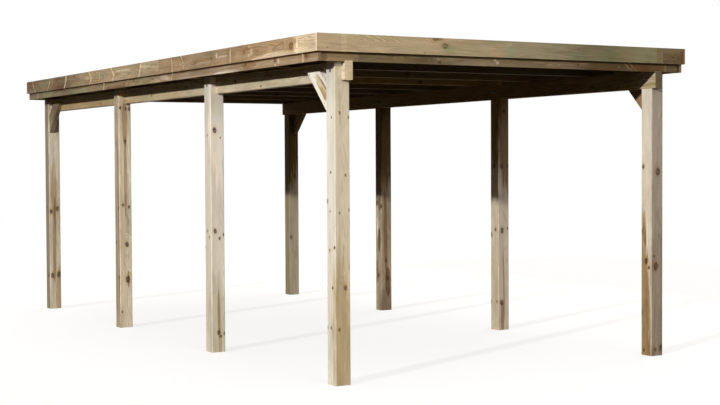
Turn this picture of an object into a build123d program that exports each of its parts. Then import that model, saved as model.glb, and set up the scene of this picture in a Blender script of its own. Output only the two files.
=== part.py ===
from build123d import *
import math
import os

# Open timber carport on two rows of posts.  Millimetres, +Z up.
# Origin: middle of the footprint, on the level floor that the posts stand on.
# X runs across the carport, Y along it; the drive-in front faces -Y.
# Beams, rafters, boards and sheets are laid out level, then tilted by the roof fall.

# ---- posts ---------------------------------------------------------------------
post_side = 120.0           # square section
post_chamfer = 6.0          # planed-off long edges
row_width = 2980.0          # outer face to outer face of the two rows
post_spacing = 2060.0       # from one post to the next along a row
beam_underside = 2116.0     # clear height under the beams, level layout

# ---- beams, in notches on the inner side of the posts ----------------------------
beam_width = 62.0
beam_height = 135.0
beam_chamfer = 4.0
beam_end_proud = 45.0       # each end stands out past the post faces

# ---- braces between the corner posts and the beams -------------------------------
brace_width = 130.0         # square to its own length
brace_set_back = 13.0       # outer face of the brace, in from the outer faces of the posts
brace_reach = 300.0         # of the lower edge, along the post and along the beam
brace_lap = 74.0            # how far the top laps up the outer face of the beam

# ---- rafters, lying on the beams ---------------------------------------------------
rafter_width = 45.0
rafter_height = 120.0
rafter_chamfer = 3.0
rafter_count = 9

# ---- two tiers of edge boards ------------------------------------------------------
side_overhang = 170.0       # post face to the outermost board face
end_overhang = 65.0
board_thickness = 20.0
upper_board_height = 122.0
lower_board_height = 145.0
lower_board_drop = 8.0      # below the undersides of the rafters
tier_rise = 65.0            # bottom of the upper board above bottom of the lower one
upper_side_joint = 2770.0   # length of the shorter upper side board
lower_side_joint = 2790.0   # length of the shorter lower side board
upper_end_joint = 210.0     # length of the short piece in the upper end boards
lower_end_joint = 255.0     # length of the short piece in the lower end boards
notch_clearance = 1.0       # round the beam ends, where the lower end board is notched
roof_fall = 30.0            # from the front edge to the rear edge

# ---- roof sheets, ribbed along the fall ----------------------------------------------
sheet_count = 3
ribs_per_sheet = 8
sheet_thickness = 1.5       # measured upright
rib_height = 20.0
rib_top = 36.0              # flat width of a rib
rib_run = 18.0              # sideways run of each sloping rib side
sheet_edge_gap = 4.0        # to the boards all round
sheet_lap_clearance = 0.4   # between two sheets where they lap

# ---- worked out ----------------------------------------------------------------------
POST_NAMES = ["front", "second", "third", "rear"]
SIDES = {"left": -1, "right": 1}

row_length = (len(POST_NAMES) - 1) * post_spacing + post_side
row_outside = row_width / 2
row_inside = row_outside - post_side
beam_outside = row_inside + beam_width
brace_thickness = post_side - beam_width - brace_set_back

outer_x = row_outside + side_overhang
outer_y = row_length / 2 + end_overhang
upper_inner_x = outer_x - board_thickness
upper_inner_y = outer_y - board_thickness
lower_inner_x = upper_inner_x - board_thickness
lower_inner_y = upper_inner_y - board_thickness

beam_top = beam_underside + beam_height
rafter_top = beam_top + rafter_height
lower_board_bottom = beam_top - lower_board_drop
lower_board_top = lower_board_bottom + lower_board_height
upper_board_bottom = lower_board_bottom + tier_rise
upper_board_top = upper_board_bottom + upper_board_height

# The fall turns the roof about a line across the front edge, half way up the upper board.
fall_angle = math.atan2(roof_fall, 2 * outer_y)
pivot_height = (upper_board_bottom + upper_board_top) / 2
to_pivot = Pos(0, -outer_y, pivot_height)
from_pivot = Pos(0, outer_y, -pivot_height)
TILT = to_pivot * Rot(-math.degrees(fall_angle), 0, 0) * from_pivot
HALF_TURN = Rot(0, 0, 180)

# Chamfered timbers meet the pieces beside them on what is left of their faces.
assert brace_thickness + post_chamfer <= post_side - beam_width, "brace stands past the post"
assert upper_board_top > rafter_top + rib_height + sheet_thickness, "sheets stand above the edge"


def block(x_range, y_range, z_range):
    """Square-edged timber between two corners."""
    size = [high - low for low, high in (x_range, y_range, z_range)]
    middle = [(high + low) / 2 for low, high in (x_range, y_range, z_range)]
    return Pos(*middle) * Box(*size)


def across(side, inner, outer):
    """Range in X between two distances from the middle, on one side."""
    return tuple(sorted((side * inner, side * outer)))


def planed(timber, along, size):
    """Timber with its four long edges planed off."""
    return chamfer(timber.edges().filter_by(along), size)


def level_drop(y):
    """How far the tilted roof hangs below its level layout, at a place along Y."""
    return (y + outer_y) * math.tan(fall_angle)


# ---- posts and braces ------------------------------------------------------------------
def post(side, start):
    """Post whose upper end is notched on the inner side to seat the beam."""
    blank = block(across(side, row_inside, row_outside), (start, start + post_side), (0, rafter_top))
    blank = planed(blank, Axis.Z, post_chamfer)
    along = (start - post_side, start + 2 * post_side)
    clear = rafter_top + post_side
    above = block(across(side, row_inside - post_side, row_outside + post_side), along, (beam_top, clear))
    seat = block(across(side, row_inside - post_side, beam_outside), along, (beam_underside, clear))
    return blank - TILT * above - TILT * seat


def brace(side, face, along):
    """Brace from a post face up to the beam at 45 degrees; along is +1 or -1 in Y."""
    top = beam_underside - level_drop(face) + brace_lap
    cut = brace_width * math.sqrt(2)
    outline = [
        (face, top - brace_reach),
        (face + along * brace_reach, top),
        (face + along * (brace_reach - cut), top),
        (face, top - brace_reach + cut),
    ]
    plate = extrude(Plane.YZ * make_face(Polyline(*outline, close=True)), amount=brace_thickness)
    low, _ = across(side, beam_outside, beam_outside + brace_thickness)
    return Pos(low, 0, 0) * plate


# ---- beams and rafters -------------------------------------------------------------------
def beam(side):
    """Beam along one row of posts, in their notches."""
    half = row_length / 2 + beam_end_proud
    timber = block(across(side, row_inside, beam_outside), (-half, half), (beam_underside, beam_top))
    return TILT * planed(timber, Axis.Y, beam_chamfer)


def rafter(number):
    """Rafter across both beams; number counts from 0 at the front."""
    travel = 2 * lower_inner_y - rafter_width
    start = -lower_inner_y + travel * number / (rafter_count - 1)
    timber = block((-lower_inner_x, lower_inner_x), (start, start + rafter_width), (beam_top, rafter_top))
    return TILT * planed(timber, Axis.X, rafter_chamfer)


# ---- edge boards -----------------------------------------------------------------------------
def upper_boards():
    """Upper tier for the front and the left side; each board laps the end of the one before it."""
    z_range = (upper_board_bottom, upper_board_top)
    joint_x = upper_inner_x - upper_end_joint
    joint_y = -upper_inner_y + upper_side_joint
    end_band = (-outer_y, -upper_inner_y)
    side_band = (-outer_x, -upper_inner_x)
    return {
        ("end", "long"): block((-outer_x, joint_x), end_band, z_range),
        ("end", "short"): block((joint_x, upper_inner_x), end_band, z_range),
        ("side", "short"): block(side_band, (-upper_inner_y, joint_y), z_range),
        ("side", "long"): block(side_band, (joint_y, outer_y), z_range),
    }


def lower_boards():
    """Lower tier, set back by a board; the side boards run past the end boards."""
    z_range = (lower_board_bottom, lower_board_top)
    joint_x = -lower_inner_x + lower_end_joint
    joint_y = -upper_inner_y + lower_side_joint
    end_band = (-upper_inner_y, -lower_inner_y)
    side_band = (-upper_inner_x, -lower_inner_x)
    short = block((-lower_inner_x, joint_x), end_band, z_range)
    long = block((joint_x, lower_inner_x), end_band, z_range)
    return {
        ("end", "short"): short - beam_notch(-1) - beam_notch(1),
        ("end", "long"): long - beam_notch(-1) - beam_notch(1),
        ("side", "short"): block(side_band, (-upper_inner_y, joint_y), z_range),
        ("side", "long"): block(side_band, (joint_y, upper_inner_y), z_range),
    }


def beam_notch(side):
    """Room for the end of a beam in the bottom edge of a lower end board."""
    x_range = across(side, row_inside - notch_clearance, beam_outside + notch_clearance)
    return block(x_range, (-outer_y, 0), (lower_board_bottom - beam_height, beam_top + notch_clearance))


def board_names(tier, place, piece):
    """Names of a board at the front or left, and of its twin at the rear or right."""
    near, far = {"end": ("front", "rear"), "side": ("left", "right")}[place]
    return f"{tier}_board_{near}_{piece}", f"{tier}_board_{far}_{piece}"


# ---- roof sheets ---------------------------------------------------------------------------------
def sheet(number):
    """Ribbed sheet on the rafters; its first rib lies over the last rib of the sheet before it."""
    usable = 2 * (lower_inner_x - sheet_edge_gap) - rib_top
    pitch = usable / (sheet_count * ribs_per_sheet)
    start = -usable / 2 + number * ribs_per_sheet * pitch
    crest = rafter_top + rib_height
    lapping = crest + sheet_thickness + sheet_lap_clearance
    half = rib_top / 2
    lower_line = [(start - half, lapping), (start + half, lapping), (start + half + rib_run, rafter_top)]
    for rib in range(1, ribs_per_sheet + 1):
        centre = start + rib * pitch
        lower_line += [(centre - half - rib_run, rafter_top), (centre - half, crest), (centre + half, crest)]
        if rib < ribs_per_sheet:
            lower_line.append((centre + half + rib_run, rafter_top))
    upper_line = [(x, z + sheet_thickness) for x, z in reversed(lower_line)]
    length = 2 * (lower_inner_y - sheet_edge_gap)
    profile = Plane.XZ * make_face(Polyline(*lower_line, *upper_line, close=True))
    return TILT * Pos(0, length / 2, 0) * extrude(profile, amount=length)


# ---- the whole carport -----------------------------------------------------------------------------
def carport():
    """Every piece of the carport, by name."""
    pieces = {}
    starts = [-row_length / 2 + number * post_spacing for number in range(len(POST_NAMES))]
    for side_name, side in SIDES.items():
        for place, start in zip(POST_NAMES, starts):
            pieces[f"post_{side_name}_{place}"] = post(side, start)
        pieces[f"beam_{side_name}"] = beam(side)
        pieces[f"brace_{side_name}_front"] = brace(side, starts[0] + post_side, 1)
        pieces[f"brace_{side_name}_rear"] = brace(side, starts[-1], -1)
    for number in range(rafter_count):
        pieces[f"rafter_{number + 1}"] = rafter(number)
    for tier, boards in (("upper", upper_boards()), ("lower", lower_boards())):
        for (place, piece), board in boards.items():
            near_name, far_name = board_names(tier, place, piece)
            pieces[near_name] = TILT * board
            pieces[far_name] = TILT * HALF_TURN * board
    for number in range(sheet_count):
        pieces[f"roof_sheet_{number + 1}"] = sheet(number)
    return pieces


os.makedirs("parts", exist_ok=True)
for name, piece in carport().items():
    export_step(piece, f"parts/{name}.step")
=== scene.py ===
import math
import random
from typing import NamedTuple

import bmesh
import bpy
from bpy.props import FloatProperty, FloatVectorProperty, IntProperty, PointerProperty
from mathutils import Euler, Matrix, Vector


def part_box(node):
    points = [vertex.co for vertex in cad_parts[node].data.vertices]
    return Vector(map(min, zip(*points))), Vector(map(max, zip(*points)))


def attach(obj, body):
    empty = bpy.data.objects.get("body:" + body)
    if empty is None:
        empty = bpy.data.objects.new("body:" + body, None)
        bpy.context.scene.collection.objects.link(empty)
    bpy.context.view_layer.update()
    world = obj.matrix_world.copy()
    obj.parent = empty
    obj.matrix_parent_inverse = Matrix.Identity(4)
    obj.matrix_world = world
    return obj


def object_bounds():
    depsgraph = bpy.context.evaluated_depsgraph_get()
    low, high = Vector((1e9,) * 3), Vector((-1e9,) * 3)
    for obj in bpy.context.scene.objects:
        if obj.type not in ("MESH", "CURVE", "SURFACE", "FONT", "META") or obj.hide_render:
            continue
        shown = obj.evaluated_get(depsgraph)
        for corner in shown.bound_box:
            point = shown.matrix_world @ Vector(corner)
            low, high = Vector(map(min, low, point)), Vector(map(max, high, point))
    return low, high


bl_info = {
    "name": "Timber carport",
    "version": (1, 0, 0),
    "blender": (4, 5, 0),
    "location": "View3D > Sidebar > Carport",
    "description": "Finishes, fixings and stage for an open timber carport",
    "category": "Object",
}

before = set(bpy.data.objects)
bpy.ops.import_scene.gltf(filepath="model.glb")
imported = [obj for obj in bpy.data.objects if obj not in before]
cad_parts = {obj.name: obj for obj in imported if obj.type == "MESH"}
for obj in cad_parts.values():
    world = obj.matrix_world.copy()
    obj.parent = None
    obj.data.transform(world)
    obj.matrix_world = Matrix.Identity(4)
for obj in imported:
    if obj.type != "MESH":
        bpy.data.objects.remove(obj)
CAD_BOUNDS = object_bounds()
BODY = "root"
PLACES = ("front", "second", "third", "rear")
OUTWARD = {"left": -1, "right": 1}
FORWARD = {"front": -1, "rear": 1}
RAFTERS = [name for name in sorted(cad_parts) if name.startswith("rafter")]
SHEETS = [name for name in sorted(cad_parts) if name.startswith("roof_sheet")]
WHITE = (1.0, 1.0, 1.0, 1.0)


def middle(node):
    """Middle of a CAD node's box."""
    low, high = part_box(node)
    return (low + high) / 2


RAFTER_SPAN = middle(RAFTERS[-1]) - middle(RAFTERS[0])
RAFTER_STEP = RAFTER_SPAN.y / (len(RAFTERS) - 1)
FALL = RAFTER_SPAN.z / RAFTER_SPAN.y

# Each layout turns a log's own axes into the carport's. A log's Z follows the grain. Its Y goes up
# in a timber that lies, and its X goes through the thickness.
UPRIGHT = Matrix.Identity(3)
ROOF_FALL = Matrix.Rotation(math.atan(FALL), 3, "X")
LENGTHWISE = ROOF_FALL @ Matrix(((-1, 0, 0), (0, 0, 1), (0, 1, 0)))
CROSSWISE = ROOF_FALL @ Matrix(((0, 0, 1), (1, 0, 0), (0, 1, 0)))

# The sRGB curve: a straight foot, then a power.
FOOT_SLOPE = 12.92
FOOT_END = 0.04045
RISE = 0.055
POWER = 2.4


def linear(code):
    """Linear colour, with alpha, from a web colour such as C9B998."""
    channels = [int(code[i : i + 2], 16) / 255 for i in (0, 2, 4)]
    return [c / FOOT_SLOPE if c <= FOOT_END else ((c + RISE) / (1 + RISE)) ** POWER for c in channels] + [1.0]


def web_code(shade):
    """Web colour of a linear colour."""
    foot = FOOT_END / FOOT_SLOPE
    channels = [FOOT_SLOPE * c if c <= foot else (1 + RISE) * c ** (1 / POWER) - RISE for c in shade[:3]]
    return "".join(f"{round(min(1, max(0, c)) * 255):02X}" for c in channels)


def colour(name, description, code):
    return FloatVectorProperty(
        name=name, description=description, subtype="COLOR", size=4, min=0, max=1, default=linear(code)
    )


def number(name, description, default, **limits):
    return FloatProperty(name=name, description=description, default=default, **limits)


def length(name, description, default):
    return number(name, description, default, min=0, unit="LENGTH")


def whole(name, description, default):
    return IntProperty(name=name, description=description, default=default, min=1)


# ---- what a user may change ----------------------------------------------------------------


class TimberSettings(bpy.types.PropertyGroup):
    """Wood of every post, beam, rafter and board."""

    ring_width: length("Ring width", "One year's growth", 0.0042)
    knot: colour("Knot", "Wood of the knots", "6B4A2C")
    bark: colour("Bark", "Rim of the knots, and cracks", "2C2014")
    pale: colour("Sapwood", "Pale wood round branches that are cut lengthwise", "D9C8AA")
    copper: colour("Copper salts", "Green cast that the preservative leaves", "8C9A74")
    rafter: colour("Rafters", "Wood of the rafters", "907851")
    plain_board: colour("Other boards", "Wood of the boards at the right and rear", "9A8562")
    grain_depth: number("Grain depth", "Relief of the late wood", 0.4, min=0)


class FixingSettings(bpy.types.PropertyGroup):
    """Bolts through the posts and beams, and screws."""

    zinc: colour("Zinc", "Colour of the plated steel", "5C5448")
    screw: colour("Screws", "Colour of the screw heads in the timber", "8F826C")
    dull_zinc: colour("Bolt heads", "Colour of the domed bolt heads", "4B4841")
    bolt_width: length("Bolt", "Diameter of the bolts", 0.010)
    bolt_proud: length("Bolt end", "How far a bolt stands out past the beam", 0.033)
    head_width: length("Bolt head", "Diameter of the domed bolt heads", 0.023)
    head_height: length("Head height", "Height of the domed bolt heads", 0.006)
    thread_pitch: length("Thread pitch", "From one turn of the thread to the next", 0.002)
    nut_width: length("Nut", "Across the flats of a nut", 0.017)
    nut_height: length("Nut height", "Thickness of a nut", 0.008)
    washer_width: length("Washer", "Diameter of a washer", 0.030)
    washer_height: length("Washer height", "Thickness of a washer", 0.0025)
    screw_width: length("Screw head", "Diameter of the screw heads", 0.009)
    screw_edge: length("Screw edge", "From a board's lower edge up to its screws", 0.028)
    end_screw_step: length("Screw spacing", "Along the boards at the front and rear", 0.62)
    sheet_screw_width: length("Sheet screw", "Diameter of the washers under the sheet screws", 0.019)
    sheet_screw_step: whole("Ribs a screw", "A screw stands on every so many ribs", 2)
    ribs_per_sheet: whole("Ribs", "Ribs of one roof sheet", 8)
    rib_width: length("Rib", "Flat width of a rib", 0.036)


class SheetSettings(bpy.types.PropertyGroup):
    """Coated steel of the roof."""

    coat: colour("Coat", "Colour of the coated steel", "3B3A37")
    dust: colour("Dust", "Colour of the dust that lies on it", "6E695E")
    roughness: number("Roughness", "Of the clean coat", 0.55, min=0, max=1)


class StageSettings(bpy.types.PropertyGroup):
    """Floor, light and camera."""

    floor: colour("Floor", "Colour of the floor", "F7F6F4")
    floor_bounce: colour("Floor bounce", "Colour of the light that the floor throws back", "2E2314")
    floor_glow: number("Floor glow", "Brightness of its shadows", 0.80)
    floor_fade: length("Floor fade", "Distance at which the floor is as pale as the sky", 26.0)
    floor_matt: number("Floor matt", "Share of the light that it scatters", 0.3)
    floor_size: length("Floor size", "Side of the square floor", 400.0)
    sun_heading: number("Sun heading", "Degrees from +Y towards +X that the light travels", 64.3)
    sun_height: number("Sun height", "Degrees above the floor", 16.7)
    sun_width: number("Sun width", "Softness of its shadows, in degrees", 1.6)
    sun_power: number("Sun power", "Strength of the main light", 2.8)
    fill_power: number("Fill power", "Strength of the light from behind", 0.75)
    front_power: number("Front power", "Strength of the light from the front", 1.0)
    sky: number("Sky", "Strength of the sky overhead", 1.2)
    sky_fall_off: number("Fall-off", "How fast the sky darkens downwards", 1.3)
    low_sky: colour("Low sky", "Tint of the sky near the horizon", "D8C4A6")
    eye: FloatVectorProperty(
        name="Eye", description="Where the camera stands", default=(-6.370, -11.857, 1.575), unit="LENGTH"
    )
    heading: number("Heading", "Degrees from +Y towards +X", 30.258)
    dip: number("Dip", "Degrees below the level", 1.737)
    roll: number("Roll", "Degrees anticlockwise", -0.284)
    lens: number("Lens", "Focal length in millimetres", 72.44)


# ---- node trees ------------------------------------------------------------------------------

SOCKETS = {"value": "NodeSocketFloat", "vector": "NodeSocketVector", "colour": "NodeSocketColor"}
COLUMNS, COLUMN_WIDTH, ROW_HEIGHT = 8, 190, 220


class Signal:
    """An output of a node; Python's own signs join it with others, or with numbers, in maths nodes."""

    def __init__(self, web, node, output=0):
        self.web = web
        self.node = node
        self.output = output

    def __getitem__(self, output):
        """Another output of the same node."""
        return Signal(self.web, self.node, output)

    def __add__(self, other):
        return self.web.math("ADD", self, other)

    def __sub__(self, other):
        return self.web.math("SUBTRACT", self, other)

    def __rsub__(self, other):
        return self.web.math("SUBTRACT", other, self)

    def __mul__(self, other):
        return self.web.math("MULTIPLY", self, other)

    def __truediv__(self, other):
        return self.web.math("DIVIDE", self, other)

    def __abs__(self):
        return self.web.math("ABSOLUTE", self)


class Web:
    """Adds nodes to one material or node group, and wires them."""

    def __init__(self, tree):
        self.tree = tree
        self.count = 0

    def add(self, kind, inputs=None, **settings):
        """A node's first output; inputs maps socket names or numbers to values or signals."""
        node = self.tree.nodes.new(kind)
        node.location = (self.count % COLUMNS * COLUMN_WIDTH, -(self.count // COLUMNS) * ROW_HEIGHT)
        self.count += 1
        for name, value in settings.items():
            setattr(node, name, value)
        for label, value in (inputs or {}).items():
            if isinstance(value, Signal):
                self.tree.links.new(value.node.outputs[value.output], node.inputs[label])
            else:
                node.inputs[label].default_value = value
        return Signal(self, node)

    def math(self, operation, *values):
        return self.add("ShaderNodeMath", dict(enumerate(values)), operation=operation)

    def vector(self, operation, *values):
        node = self.add("ShaderNodeVectorMath", dict(enumerate(values)), operation=operation)
        return node["Value" if operation in ("DOT_PRODUCT", "LENGTH") else "Vector"]

    def scaled(self, vector, factor):
        return self.add("ShaderNodeVectorMath", {0: vector, "Scale": factor}, operation="SCALE")

    def parts(self, vector):
        return self.add("ShaderNodeSeparateXYZ", {0: vector})

    def step(self, value, low, high, start=0.0, end=1.0):
        """Smooth step from start, at low, to end, at high."""
        sockets = dict(enumerate((value, low, high, start, end)))
        return self.add("ShaderNodeMapRange", sockets, interpolation_type="SMOOTHSTEP")

    def mix(self, factor, first, second, blend="MIX"):
        sockets = {0: factor, 6: first, 7: second}
        return self.add("ShaderNodeMix", sockets, data_type="RGBA", blend_type=blend)[2]

    def noise(self, vector, scale, detail=2.0, roughness=0.5):
        sockets = {"Vector": vector, "Scale": scale, "Detail": detail, "Roughness": roughness}
        return self.add("ShaderNodeTexNoise", sockets)["Fac"]

    def stretched_noise(self, vector, stretch, detail=2.0, roughness=0.5):
        return self.noise(self.vector("MULTIPLY", vector, stretch), 1.0, detail, roughness)

    def coordinates(self, kind="Object"):
        return self.add("ShaderNodeTexCoord")[kind]

    def bump(self, strength, distance, height):
        return self.add("ShaderNodeBump", {"Strength": strength, "Distance": distance, "Height": height})

    def group(self, make, inputs):
        return self.add("ShaderNodeGroup", inputs, node_tree=make())


def node_group(**inputs):
    """Turns a function that wires a node group into one that makes it once, and gives it from then on.

    inputs lists the labels of its sockets by their kind. The group's name starts the function's
    docstring, and what the function returns feeds the group's outputs.
    """

    def wrap(wire):
        def get():
            name = wire.__doc__.split(":")[0]
            return bpy.data.node_groups.get(name) or wired(name, inputs, wire)

        return get

    return wrap


def wired(name, inputs, wire):
    """A new node group with its sockets, wired by a function."""
    tree = bpy.data.node_groups.new(name, "ShaderNodeTree")
    for kind, labels in inputs.items():
        for label in labels.split(", "):
            tree.interface.new_socket(name=label, in_out="INPUT", socket_type=SOCKETS[kind])
    web = Web(tree)
    results = wire(web, web.add("NodeGroupInput"))
    for label in results:
        kind = "colour" if label == "Color" else "value"
        tree.interface.new_socket(name=label, in_out="OUTPUT", socket_type=SOCKETS[kind])
    web.add("NodeGroupOutput", results)
    return tree


# A knot is longer along the grain, and its branch is within these shares of its size at the point.
KNOT_SHAPE = (1.12, 1.12, 0.70)
THINNEST, THICKEST = 0.02, 1.2
# How far rings wander, ripple and swell round a knot, and how wide a crack gapes, in metres.
WANDER, RIPPLE, SWELL, CRACK = 0.05, 0.005, 0.016, 0.0016
CRACK_SIDEWAYS, CRACK_OUTWARD = (0.6, 0.8, 0.0), (0.8, -0.6, 0.0)
SPIKE_WANDER = 0.05
EARLY_WOOD = (1.08, 1.07, 1.05, 1.0)
LATE_WOOD = (0.72, 0.61, 0.46, 1.0)
RESIN = (0.78, 0.63, 0.44, 1.0)
# Shares of the grown-through wood, streaks, blotches and fibres in the tone.
GROWN, STREAKS, BLOTCHES, FIBRES = 0.35, 0.45, 1.3, 0.22


@node_group(vector="Place, Point, Heading", value="Size, Taper, Nearness")
def knot_group(web, given):
    """Knot: a branch from the pith outwards; nearness is 1 at its heart and 0 at its bark."""
    offset = web.vector("SUBTRACT", given["Place"], given["Point"])
    along = web.vector("DOT_PRODUCT", offset, given["Heading"])
    away = web.vector("SUBTRACT", offset, web.scaled(given["Heading"], along))
    away = web.vector("LENGTH", web.vector("MULTIPLY", away, KNOT_SHAPE))
    taper = web.math("MAXIMUM", along * given["Taper"] + 1.0, THINNEST)
    share = away / (given["Size"] * web.math("MINIMUM", taper, THICKEST))
    return {"Nearness": web.math("MAXIMUM", 1.0 - share, given["Nearness"])}


@node_group(colour="Color, Tint", vector="Place, Centre, Reach", value="Ragged, Blur")
def patch_group(web, given):
    """Patch: a long soft patch of another tone, with a ragged edge that follows the grain."""
    offset = web.vector("DIVIDE", web.vector("SUBTRACT", given["Place"], given["Centre"]), given["Reach"])
    away = given["Ragged"] * given["Blur"] + web.vector("LENGTH", offset)
    blur = given["Blur"] * 0.2
    share = web.step(away, blur + 1.0, 1.0 - blur)
    return {"Color": web.mix(share, given["Color"], given["Tint"], "MULTIPLY")}


@node_group(vector="Place", value="At, Up, Down, Width, Share, Flank")
def spike_group(web, given):
    """Spike: a branch cut lengthwise, seen as a thin line across a board."""
    place = web.parts(given["Place"])
    upper = web.math("MAXIMUM", place[1], 0.0) * given["Up"]
    lower = web.math("MINIMUM", place[1], 0.0) * given["Down"]
    wave = web.noise(given["Place"], 22, 3, 0.6) - 0.5
    bent = wave * SPIKE_WANDER + (upper + lower + given["At"])
    away = (place[2] - bent) / given["Width"]
    broken = web.step(web.noise(given["Place"], 33), 0.32, 0.5, 0.4, 1)
    share = web.step(abs(away), 0.7, 0.15) * broken
    flank = web.step(abs(away + wave), 3.2, 0.4)
    results = {"Share": share, "Flank": flank}
    return {label: web.math("MAXIMUM", value, given[label]) for label, value in results.items()}


@node_group(vector="Place", value="Nearness, Ring Width")
def rings_group(web, given):
    """Rings: growth rings, fibres, streaks and drying cracks of a log, in the log's own axes."""
    place = given["Place"]
    wander = web.stretched_noise(place, (7, 7, 1.3), 3) - 0.5
    ripple = web.stretched_noise(place, (40, 40, 9)) - 0.5
    radius = web.vector("LENGTH", web.vector("MULTIPLY", place, (1, 1, 0)))
    radius = ripple * RIPPLE + (wander * WANDER + radius)
    swollen = radius + web.step(given["Nearness"], -3.5, 0.9, 0.0, SWELL)
    years = swollen / given["Ring Width"]
    share = web.math("FRACT", years)
    year = web.add("ShaderNodeTexWhiteNoise", {"W": web.math("FLOOR", years)}, noise_dimensions="1D")
    late = web.step(share, 0.25, 0.86) * web.step(share, 1.0, 0.93)

    bend = web.stretched_noise(place, (3, 3, 5), 3) - 0.5
    side = bend * 0.02 + web.vector("DOT_PRODUCT", place, CRACK_SIDEWAYS)
    outward = web.step(web.vector("DOT_PRODUCT", place, CRACK_OUTWARD), 0.02, 0.04)
    gape = web.step(web.stretched_noise(place, (0.5, 0.5, 0.9)), 0.52, 0.62)
    return {
        "Late": late * (year["Value"] * 0.65 + 0.35),
        "Fibre": web.stretched_noise(place, (420, 420, 14)),
        "Streak": web.stretched_noise(place, (48, 48, 1.3), 4, 0.6),
        "Crack": web.step(abs(side), gape * CRACK, 0.0) * (outward * gape),
    }


@node_group(
    colour="Tone, Knot, Bark, Pale, Copper",
    vector="Place",
    value="Nearness, Spike, Flank, Green, Contrast, Cracks, Ring Width",
)
def pine_group(web, given):
    """Pine: planed, pressure-treated pine, from its tone, rings, knots and spikes."""
    place, contrast = given["Place"], given["Contrast"]
    near = (web.noise(place, 90, 3, 0.6) - 0.5) * 0.9 + given["Nearness"]
    sockets = {"Place": place, "Nearness": near, "Ring Width": given["Ring Width"]}
    rings = web.group(rings_group, sockets)

    late = web.step(rings["Streak"], 0.46, 0.70) * contrast * STREAKS + rings["Late"] * contrast
    tone = web.mix(1.0, given["Tone"], web.mix(late, EARLY_WOOD, LATE_WOOD), "MULTIPLY")
    blotch = web.stretched_noise(place, (11, 11, 2.6), 4, 0.6) - 0.5
    tone = web.scaled(tone, (rings["Fibre"] - 0.5) * FIBRES + (blotch * contrast * BLOTCHES + 1.0))
    green = web.step(web.stretched_noise(place, (8, 8, 2), 3), 0.45, 0.66)
    tone = web.mix(green * given["Green"], tone, given["Copper"])
    tone = web.mix(given["Flank"] * 0.5, tone, RESIN, "MULTIPLY")
    tone = web.mix(given["Spike"] * 0.75, tone, given["Pale"])

    tone = web.mix(web.step(near, -1.4, 0.1) * 0.55, tone, RESIN, "MULTIPLY")
    core = web.step(near, -0.02, 0.24)
    grown = web.step(web.noise(place, 140), 0.4, 0.6)
    tone = web.mix(core, tone, web.mix(grown * GROWN, given["Knot"], given["Tone"]))
    rim = web.step(abs(near - 0.18), 0.30, 0.04)
    broken = web.step(web.noise(place, 55), 0.35, 0.6, 0.15, 0.9)
    tone = web.mix(rim * broken, tone, given["Bark"])
    crack = rings["Crack"] * given["Cracks"]
    return {
        "Color": web.mix(crack, tone, given["Bark"]),
        "Roughness": core * -0.12 + (rings["Fibre"] * 0.16 + 0.68),
        "Height": core * 0.8 + (crack * -3.0 + (rings["Fibre"] * 0.5 + rings["Late"])),
    }


@node_group(value="Along, Across, Step, Start, Row, Width")
def screws_group(web, given):
    """Screws: heads that are flush with a board, in rows, from the place along it and across it."""
    along = web.math("PINGPONG", given["Along"] - given["Start"], given["Step"] * 0.5)
    across = abs(given["Across"]) - given["Row"]
    away = web.math("SQRT", along * along + across * across)
    return {"Head": web.step(away / given["Width"], 0.54, 0.46)}


@node_group(vector="Place", colour="Zinc")
def zinc_group(web, given):
    """Zinc: plated steel with crystals and dull places."""
    crystal = web.add("ShaderNodeTexVoronoi", {"Vector": given["Place"], "Scale": 350.0})
    light = web.parts(crystal["Color"]) * 0.35 + 0.8
    rough = web.noise(given["Place"], 300) * 0.35 + 0.42
    return {"Color": web.scaled(given["Zinc"], light), "Roughness": rough}


@node_group(vector="Place")
def dust_group(web, given):
    """Dust: what gathers on a roof and is washed into lines down its fall."""
    washed = web.stretched_noise(given["Place"], (26, 1.2, 26), 4, 0.6)
    lying = web.stretched_noise(given["Place"], (2.4, 2.4, 2.4), 4, 0.6)
    return {"Share": web.step(lying * 0.6 + washed * 0.7, 0.5, 0.95)}


def new_material(name):
    """A material with no nodes, and its web."""
    material = bpy.data.materials.new(name)
    material.use_nodes = True
    material.node_tree.nodes.clear()
    return material, Web(material.node_tree)


def show(web, sockets):
    """Ends a material in a Principled BSDF."""
    surface = web.add("ShaderNodeBsdfPrincipled", sockets)
    web.add("ShaderNodeOutputMaterial", {"Surface": surface})


def paint(node, material):
    """Puts a material on every slot of a CAD node."""
    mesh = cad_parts[node].data
    if not mesh.materials:
        mesh.materials.append(material)
    for slot in range(len(mesh.materials)):
        mesh.materials[slot] = material


# ---- timber ----------------------------------------------------------------------------------------


class Timber(NamedTuple):
    """How one timber looks; lengths are in millimetres, and tints in per cent.

    tone is its colour, front_tone that of the faces that look along the carport, knot that of its
    knots, and end a tint that its end grain is multiplied by.
    left and front list the marks on those faces: a knot is (place along, place across, radius), and
    a patch is (place along, place across, reach along, reach across, tint).
    spikes are (place along, slope above the middle line, slope below it, width).
    pith is from the middle of the timber to the heart of its log, in the log's X and Y.
    lean is how far the heart slants, in radians about the log's X and Y.
    Places across a post run from its left or front edge, and across a lying timber from its underside.
    """

    tone: str
    front_tone: str = ""
    knot: str = ""
    end: tuple = (62, 55, 46)
    left: tuple = ()
    front: tuple = ()
    spikes: tuple = ()
    pith: tuple = ()
    lean: tuple = ()
    green: float = 0.12
    contrast: float = 0.55
    cracks: float = 0.0


KNOT_NUMBERS = 3  # a mark with so many numbers is a knot
SHORTEST_BRANCH = 0.035  # in metres, as all lengths outside Timber are
BRANCH_RISE = 0.2  # along the grain, for each metre outwards
NARROW_PATCH = 0.05  # a narrower one has a sharper edge
FAR_FROM_KNOTS = -9.0
GRAIN_BUMP = 0.0012
TIMBER_SHINE = 0.12


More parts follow.
